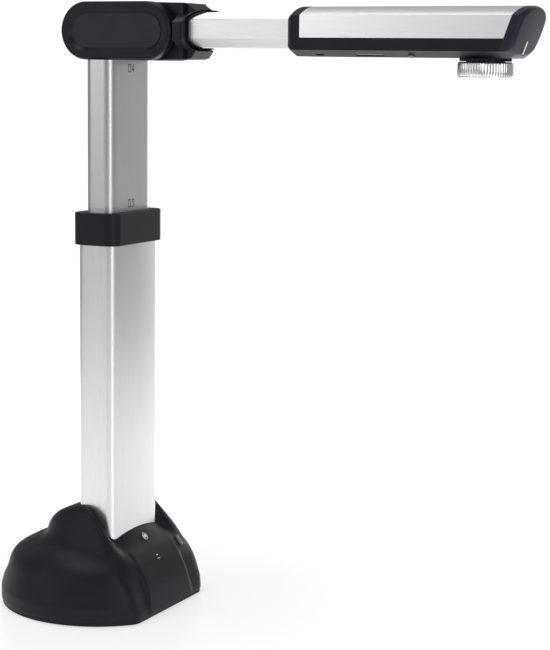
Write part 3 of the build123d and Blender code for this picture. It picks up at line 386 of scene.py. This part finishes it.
# ---------------------------------------------------------------- columns: extrusions with a crowned front


def extrusion(name, node, radius, wall, crown, material, body):
    """Hollow aluminium profile in place of its CAD node, with the wide faces slightly crowned."""
    low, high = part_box(node)
    half_x, half_y = (high[0] - low[0]) / 2, (high[1] - low[1]) / 2
    count = 20

    def loop(inset):
        r = max(radius - inset, 0.4 * MM)
        hx, hy = half_x - inset, half_y - inset
        points = []
        for quadrant in range(4):
            sx = 1 if quadrant in (0, 3) else -1
            sy = 1 if quadrant in (0, 1) else -1
            for i in range(11):
                angle = math.radians(90 * quadrant + 9 * i)
                points.append((sx * (hx - r) + r * math.cos(angle), sy * (hy - r) + r * math.sin(angle)))
            if quadrant in (1, 3):
                for i in range(1, count):
                    y = -math.copysign(1, -sy) * (hy - r) * (1 - 2 * i / count)
                    points.append((sx * (hx + crown * (1 - (y / (hy - r)) ** 2)), y))
        return points

    outer, inner = loop(0), loop(wall)
    n = len(outer)
    vertices = [(x, y, z) for z in (low[2], high[2]) for x, y in outer]
    vertices += [(x, y, z) for z in (low[2], high[2]) for x, y in inner]
    faces = []
    for i in range(n):
        k = (i + 1) % n
        faces.append((i, k, n + k, n + i))
        faces.append((2 * n + k, 2 * n + i, 3 * n + i, 3 * n + k))
        faces.append((n + i, n + k, 3 * n + k, 3 * n + i))
        faces.append((k, i, 2 * n + i, 2 * n + k))
    obj = mesh_piece(name, vertices, faces, material, body)
    edge = obj.modifiers.new("edge", "EDGE_SPLIT")
    edge.split_angle = math.radians(40)
    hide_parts(node)
    return obj


INNER_CROWN = 0.03          # less than the running clearance in the collar's bush
extrusion("outer_profile", "outer_column", 5.4 * MM, 1.8 * MM, 0.9 * MM, column_metal, "base")
extrusion("inner_profile", "inner_column", 5.4 * MM, 1.5 * MM, INNER_CROWN * MM, inner_metal, "column")

# ---------------------------------------------------------------- arm tube with a groove along each crease


def grooved_tube():
    """Eight-sided arm tube in place of its CAD node; fine V grooves run along its creases."""
    low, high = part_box("arm_tube")
    half_y = high[1]
    z = (low[2], low[2] + 6.0 * MM, high[2] - 4.4 * MM, high[2])
    flat_low, flat_high, groove = 8.0 * MM, 9.6 * MM, 0.45 * MM
    corners = [(-flat_low, z[0]), (flat_low, z[0]), (half_y, z[1]), (half_y, z[2]),
               (flat_high, z[3]), (-flat_high, z[3]), (-half_y, z[2]), (-half_y, z[1])]
    middle = Vector((0, (z[0] + z[3]) / 2))
    outline = []
    for i, corner in enumerate(corners):
        here = Vector(corner)
        before = (Vector(corners[i - 1]) - here).normalized()
        after = (Vector(corners[(i + 1) % 8]) - here).normalized()
        inward = (middle - here).normalized()
        outline += [here + before * groove, here + inward * groove, here + after * groove]
    wall = 1.5 * MM
    inner = [p + (middle - p).normalized() * wall * 1.3 for p in outline]
    n = len(outline)
    vertices = [(x, p.x, p.y) for x in (low[0], high[0]) for p in outline]
    vertices += [(x, p.x, p.y) for x in (low[0], high[0]) for p in inner]
    faces = []
    for i in range(n):
        k = (i + 1) % n
        faces.append((i, k, n + k, n + i))
        faces.append((2 * n + k, 2 * n + i, 3 * n + i, 3 * n + k))
        faces.append((n + i, n + k, 3 * n + k, 3 * n + i))
        faces.append((k, i, 2 * n + i, 2 * n + k))
    obj = mesh_piece("grooved_arm", vertices, faces, arm_metal, "arm", smooth=False)
    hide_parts("arm_tube")


grooved_tube()

# ---------------------------------------------------------------- focus ring: a turned ring with soft flutes


def fluted_ring():
    """Knurled ring in place of its CAD node: waves round the wall, plain chamfered lips above and below."""
    low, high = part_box("focus_ring")
    centre_x = (low[0] + high[0]) / 2
    radius = (high[0] - low[0]) / 2
    bore, recess = 9.5 * MM, 11.1 * MM
    height = high[2] - low[2]
    flutes, per_flute, depth = 56, 8, 0.32 * MM
    profile = [(bore, 2 * MM, 0), (bore, 0.3 * MM, 0), (bore + 0.3 * MM, 0, 0),
               (radius - 0.9 * MM, 0, 0), (radius - 0.5 * MM, 0.25 * MM, 0),
               (radius - 0.5 * MM, 0.7 * MM, 0),
               (radius - 0.45 * MM, 0.8 * MM, 0.2), (radius, 1.3 * MM, 1), (radius, height - 1.0 * MM, 1),
               (radius - 0.4 * MM, height - 0.5 * MM, 0.3), (radius - 0.9 * MM, height, 0),
               (recess, height, 0), (recess, 2 * MM, 0)]
    around = flutes * per_flute
    vertices = []
    for r, rise, wave in profile:
        for j in range(around):
            angle = 2 * math.pi * j / around
            dip = depth * wave * (0.5 - 0.5 * math.cos(angle * flutes)) ** 2
            vertices.append((centre_x + (r - dip) * math.cos(angle), (r - dip) * math.sin(angle),
                             low[2] + rise))
    faces = []
    rows = len(profile)
    for i in range(rows):
        for j in range(around):
            k, m = (j + 1) % around, (i + 1) % rows
            faces.append((i * around + j, i * around + k, m * around + k, m * around + j))
    obj = mesh_piece("fluted_ring", vertices, faces, ring_metal, "focus")
    edge = obj.modifiers.new("edge", "EDGE_SPLIT")
    edge.split_angle = math.radians(38)
    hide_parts("focus_ring")


fluted_ring()

# ---------------------------------------------------------------- nose cap: rounded end of the camera head

SLANT = 0.36
HINGE_Z = 362.5


def nose_outline(blend, inset):
    """Cap outline in Y and Z (mm): the head's section at blend 0, a soft D shape at blend 1."""
    half, bottom, low, crease, crown, flat = 21.5, 348.3, 351.9, 371.5, 377.1, 12.0
    points = []
    steps = 20
    middle = (bottom + crown) / 2
    hard = [(-flat + 2 * flat * i / steps, bottom) for i in range(steps)]
    hard += [(flat + (half - flat) * i / 8, bottom + (low - bottom) * i / 8) for i in range(8)]
    hard += [(half, low + (crease - low) * i / steps) for i in range(steps)]
    arc = [(half - 2 * half * i / (2 * steps)) for i in range(2 * steps)]
    hard += [(y, crown - (crown - crease) * (y / half) ** 2) for y in arc]
    hard += [(-half, crease - (crease - low) * i / steps) for i in range(steps)]
    hard += [(-half + (half - flat) * i / 8, low - (low - bottom) * i / 8) for i in range(8)]
    for y, z in hard:
        dy, dz = y / (half - 0.2), (z - middle) / ((crown - bottom) / 2 - 0.1)
        n = 2.9
        scale = 1 / max((abs(dy) ** n + abs(dz) ** n) ** (1 / n), 1e-6)
        soft_y, soft_z = y * scale, middle + (z - middle) * scale
        y1, z1 = y + (soft_y - y) * blend, z + (soft_z - z) * blend
        shrink = 1 - inset / 14.0
        points.append((y1 * (1 - inset / 21.5), middle + (z1 - middle) * shrink))
    return points


def nose_cap():
    """Cap on the slanted end of the head, with a rounded front edge and the bar's slot left to the inlay."""
    rear, face, radius = 258.8, 265.6, 3.0
    rings = [(rear, 0.0, 0.0), (rear + 0.9, 0.0, 0.0)]
    steps = 8
    for i in range(steps + 1):
        turn = math.pi / 2 * i / steps
        rings.append((face - radius + radius * math.sin(turn), i / steps, radius * (1 - math.cos(turn))))
    vertices = []
    for x, blend, inset in rings:
        for y, z in nose_outline(blend, inset):
            vertices.append(((x + SLANT * (z - HINGE_Z)) * MM, y * MM, z * MM))
    n = len(vertices) // len(rings)
    faces = []
    for i in range(len(rings) - 1):
        for j in range(n):
            k = (j + 1) % n
            faces.append((i * n + j, i * n + k, (i + 1) * n + k, (i + 1) * n + j))
    faces.append(tuple(range((len(rings) - 1) * n, len(rings) * n)))
    faces.append(tuple(reversed(range(n))))
    obj = mesh_piece("rounded_nose", vertices, faces, nose, "camera_head")
    edge = obj.modifiers.new("edge", "EDGE_SPLIT")
    edge.split_angle = math.radians(35)
    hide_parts("nose_cap")


nose_cap()

# ---------------------------------------------------------------- printed marks


PRINT_DEPTH = 0.15          # how far a printed stroke reaches below the face it lies on


def strokes(name, lines, width, place, across, upwards, material, body, lift=0.03):
    """Flat printed strokes in mm on a face; lines are point lists in the face's own axes."""
    across, upwards = Vector(across).normalized(), Vector(upwards).normalized()
    normal = across.cross(upwards)
    vertices, faces = [], []
    for line in lines:
        for (u0, v0), (u1, v1) in zip(line[:-1], line[1:]):
            run = Vector((u1 - u0, v1 - v0))
            side = Vector((-run.y, run.x)).normalized() * width / 2
            ext = run.normalized() * width / 2
            base = len(vertices)
            for u, v in ((u0 - ext.x + side.x, v0 - ext.y + side.y),
                         (u0 - ext.x - side.x, v0 - ext.y - side.y),
                         (u1 + ext.x - side.x, v1 + ext.y - side.y),
                         (u1 + ext.x + side.x, v1 + ext.y + side.y)):
                for raised in (lift, -PRINT_DEPTH):
                    point = Vector(place) + across * u + upwards * v + normal * raised
                    vertices.append(point * MM)
            top = [base, base + 2, base + 4, base + 6]
            faces.append(tuple(top))
            faces.append(tuple(i + 1 for i in reversed(top)))
            for i in range(4):
                a, b = top[i], top[(i + 1) % 4]
                faces.append((b, a, a + 1, b + 1))
    return mesh_piece(name, vertices, faces, material, body, smooth=False)


SHEET = [(-3.6, -2.2), (-3.6, 2.2), (-1.0, 2.2), (-1.0, -2.2), (-3.6, -2.2)]
FOUR = [[(2.2, -2.2), (2.2, 2.2), (0.4, -0.9), (3.0, -0.9)]]
THREE = [[(0.4, 2.2), (2.8, 2.2), (1.5, 0.4), (2.8, -0.9), (2.2, -2.2), (0.4, -2.2)]]
column_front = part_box("inner_column")[1][0] / MM + INNER_CROWN
for name, digit, height in (("mark_small_sheet", FOUR, 340.1), ("mark_large_sheet", THREE, 257.1)):
    mark = strokes(name, [SHEET] + digit, 0.55, (column_front - 0.01, 0.0, height), (0, 1, 0), (0, 0, 1),
                   ink, "column")


def arc(radius, start, end, steps=10):
    angles = [math.radians(start + (end - start) * i / steps) for i in range(steps + 1)]
    return [(radius * math.cos(a), radius * math.sin(a)) for a in angles]


SLOPE_UP = (-0.6247, 0, 0.7809)
SLOPE_FALL = 1.25           # drop of the cover's front face per unit of X
icons = (("power_icon", (19.8, 0), [arc(2.2, 125, 415), [(0, 0.9), (0, 2.8)]]),
         ("scan_icon", (28.2, 0), [arc(2.2, 20, 160), arc(3.2, 200, 340), [(-3.4, 0), (-1.8, 0)],
                                   [(1.8, 0), (3.4, 0)]]))
for name, (x, y), lines in icons:
    height = SLOPE[0][1] - (x - SLOPE[0][0]) * SLOPE_FALL
    mark = strokes(name, lines, 0.42, (x, y, height), (0, 1, 0), SLOPE_UP, pale_ink, "base", lift=0.12)

# ---------------------------------------------------------------- stage, light and camera


def area_light(name, place, target, width, height, power, colour=(1, 1, 1)):
    data = bpy.data.lights.new(name, "AREA")
    data.shape = "RECTANGLE"
    data.size = width
    data.size_y = height
    data.energy = power
    data.color = colour
    obj = bpy.data.objects.new(name, data)
    bpy.context.collection.objects.link(obj)
    obj.location = place
    obj.rotation_euler = (Vector(target) - Vector(place)).to_track_quat("-Z", "Y").to_euler()
    return obj


floor_mesh = bpy.data.meshes.new("floor")
shape = bmesh.new()
bmesh.ops.create_circle(shape, cap_ends=True, segments=96, radius=0.85)
shape.to_mesh(floor_mesh)
shape.free()
floor = bpy.data.objects.new("floor", floor_mesh)
bpy.context.collection.objects.link(floor)
floor_material, floor_tree, floor_shader = new_material("pale_floor")
floor_tint = ramp(floor_tree, noise(floor_tree, 3, 2), (0.5, 0.5, 0.5), (0.53, 0.53, 0.53))
floor_tree.links.new(floor_tint, floor_shader.inputs["Base Color"])
floor_shader.inputs["Roughness"].default_value = 0.18
floor_shader.inputs["Specular IOR Level"].default_value = 0.35
floor_shader.inputs["Emission Color"].default_value = (1, 1, 1, 1)
# The floor's emission is lower near the middle, a painted shadow under the base; further out it keeps the
# floor evenly bright.
reach = floor_tree.nodes.new("ShaderNodeVectorMath")
reach.operation = "LENGTH"
place = floor_tree.nodes.new("ShaderNodeTexCoord")
glow_and_painted_shadow = floor_tree.nodes.new("ShaderNodeMapRange")
glow_and_painted_shadow.interpolation_type = "SMOOTHSTEP"
glow_and_painted_shadow.inputs["From Min"].default_value = 0.08
glow_and_painted_shadow.inputs["From Max"].default_value = 0.4
glow_and_painted_shadow.inputs["To Min"].default_value = 0.62
glow_and_painted_shadow.inputs["To Max"].default_value = 1.0
floor_tree.links.new(place.outputs["Object"], reach.inputs[0])
floor_tree.links.new(reach.outputs["Value"], glow_and_painted_shadow.inputs["Value"])
floor_tree.links.new(glow_and_painted_shadow.outputs["Result"], floor_shader.inputs["Emission Strength"])
floor_mesh.materials.append(floor_material)

world = bpy.data.worlds.new("studio")
bpy.context.scene.world = world
world.use_nodes = True
sky = world.node_tree.nodes["Background"]
sky.inputs["Color"].default_value = (1, 1, 1, 1)
path = world.node_tree.nodes.new("ShaderNodeLightPath")
strength = world.node_tree.nodes.new("ShaderNodeMapRange")
strength.inputs["To Min"].default_value = 0.3
strength.inputs["To Max"].default_value = 1.1
world.node_tree.links.new(path.outputs["Is Camera Ray"], strength.inputs["Value"])
world.node_tree.links.new(strength.outputs["Result"], sky.inputs["Strength"])

area_light("back_panel", (0.15, 1.5, 0.35), (0, 0, 0.2), 0.7, 1.5, 5.5)
area_light("right_panel", (1.4, -0.7, 0.6), (0, 0, 0.2), 0.6, 1.2, 6)
area_light("overhead", (-0.2, -0.1, 1.5), (0, 0, 0.2), 1.4, 0.8, 8)
area_light("left_panel", (-0.9, -1.4, 0.8), (0, 0, 0.36), 1.0, 1.0, 4.4)

SENSOR, IMAGE_SIDE, FOCAL_PX = 36.0, 650, 1750.5
YAW, PITCH, ROLL = math.radians(26.79), math.radians(8.41), math.radians(0.74)
camera_data = bpy.data.cameras.new("camera")
camera_data.sensor_width = SENSOR
camera_data.lens = FOCAL_PX * SENSOR / IMAGE_SIDE
camera_data.clip_end = 50
camera = bpy.data.objects.new("camera", camera_data)
bpy.context.collection.objects.link(camera)
back = Vector((math.sin(YAW) * math.cos(PITCH), -math.cos(YAW) * math.cos(PITCH), math.sin(PITCH)))
right = (-back).cross(Vector((0, 0, 1))).normalized()
up = right.cross(-back)
right, up = (math.cos(ROLL) * right + math.sin(ROLL) * up, -math.sin(ROLL) * right + math.cos(ROLL) * up)
turn = Matrix((right, up, back)).transposed().to_4x4()
camera.matrix_world = Matrix.Translation((0.5813, -0.9319, 0.3425)) @ turn
bpy.context.scene.camera = camera
bpy.context.scene.view_settings.view_transform = "Standard"
